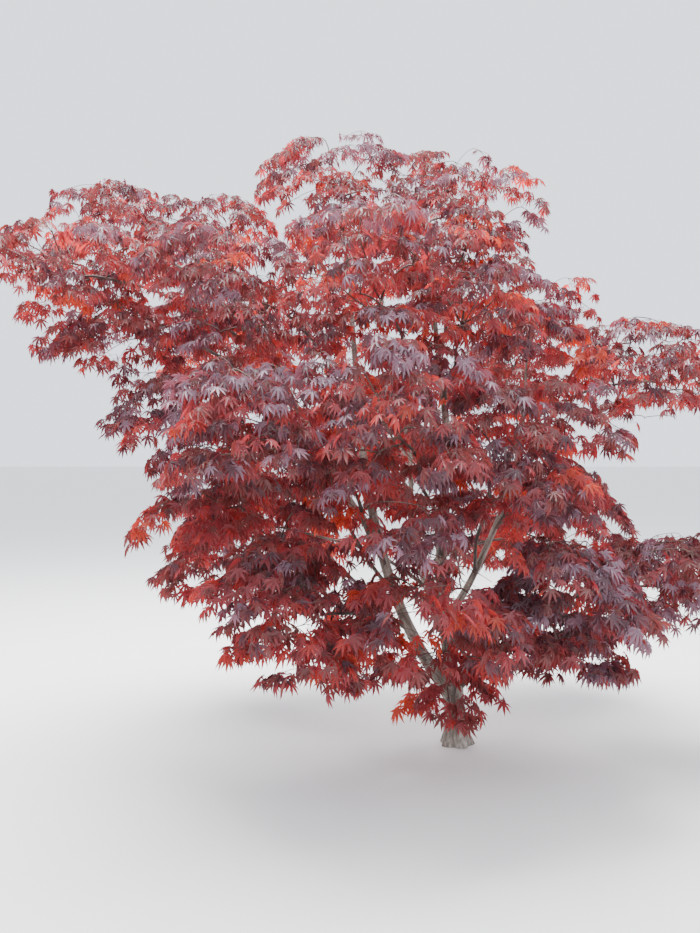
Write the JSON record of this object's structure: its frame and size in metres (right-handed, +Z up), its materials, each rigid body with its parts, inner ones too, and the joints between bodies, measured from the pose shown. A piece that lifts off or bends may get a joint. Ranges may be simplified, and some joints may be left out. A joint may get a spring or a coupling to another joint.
{
  "type": "japanese maple tree",
  "caption": "Small red-leaved garden maple, whole tree: low forking grey-brown stems carry a wide crown of layered foliage down to the ground.",
  "frame": {"origin": "middle of the flat cut under the trunk, at ground level", "axes": "+Z up the tree; +Y away from the viewer of the front, which is the side seen from the street; +X to that viewer's right"},
  "size_m": [3.8445, 3.313, 3.0347],
  "materials": {
    "bark": "rough grey-brown bark with pale streaks",
    "leaf_purple": "dark purple leaf with a dull sheen",
    "leaf_burgundy": "burgundy leaf",
    "leaf_crimson": "crimson leaf, lit through",
    "leaf_scarlet": "bright red young leaf, lit through"
  },
  "bodies": {
    "root": {"bough_back_leader": "bark", "bough_back_left_high": "bark", "bough_back_left_low": "bark", "bough_back_mid": "bark", "bough_back_right_high": "bark", "bough_back_right_low": "bark", "bough_centre_leader": "bark", "bough_front_high": "bark", "bough_front_left_high": "bark", "bough_front_left_low": "bark", "bough_front_left_mid": "bark", "bough_front_low": "bark", "bough_front_mid": "bark", "bough_front_right_high": "bark", "bough_front_right_low": "bark", "bough_front_right_mid": "bark", "bough_left_high": "bark", "bough_left_leader": "bark", "bough_left_low": "bark", "bough_left_low_mid": "bark", "bough_left_mid": "bark", "bough_left_mid_high": "bark", "bough_left_tip": "bark", "bough_right_foot": "bark", "bough_right_leader": "bark", "bough_right_low": "bark", "bough_right_mid": "bark", "bough_top_right": "bark", "leaves_back_leader": "leaf_scarlet", "leaves_back_left_high": "leaf_scarlet", "leaves_back_left_low": "leaf_purple", "leaves_back_mid": "leaf_scarlet", "leaves_back_right_high": "leaf_burgundy", "leaves_back_right_low": "leaf_crimson", "leaves_centre_leader": "leaf_crimson", "leaves_foot_front": "leaf_crimson", "leaves_front_high": "leaf_purple", "leaves_front_left_high": "leaf_crimson", "leaves_front_left_low": "leaf_scarlet", "leaves_front_left_mid": "leaf_burgundy", "leaves_front_low": "leaf_crimson", "leaves_front_mid": "leaf_scarlet", "leaves_front_right_high": "leaf_crimson", "leaves_front_right_low": "leaf_scarlet", "leaves_front_right_mid": "leaf_purple", "leaves_left_high": "leaf_crimson", "leaves_left_leader": "leaf_purple", "leaves_left_low": "leaf_burgundy", "leaves_left_low_mid": "leaf_purple", "leaves_left_mid": "leaf_scarlet", "leaves_left_mid_high": "leaf_burgundy", "leaves_left_tip": "leaf_purple", "leaves_right_foot": "leaf_burgundy", "leaves_right_leader": "leaf_burgundy", "leaves_right_low": "leaf_purple", "leaves_right_mid": "leaf_crimson", "leaves_top_right": "leaf_burgundy", "trunk": "bark"}
  },
  "joints": []
}
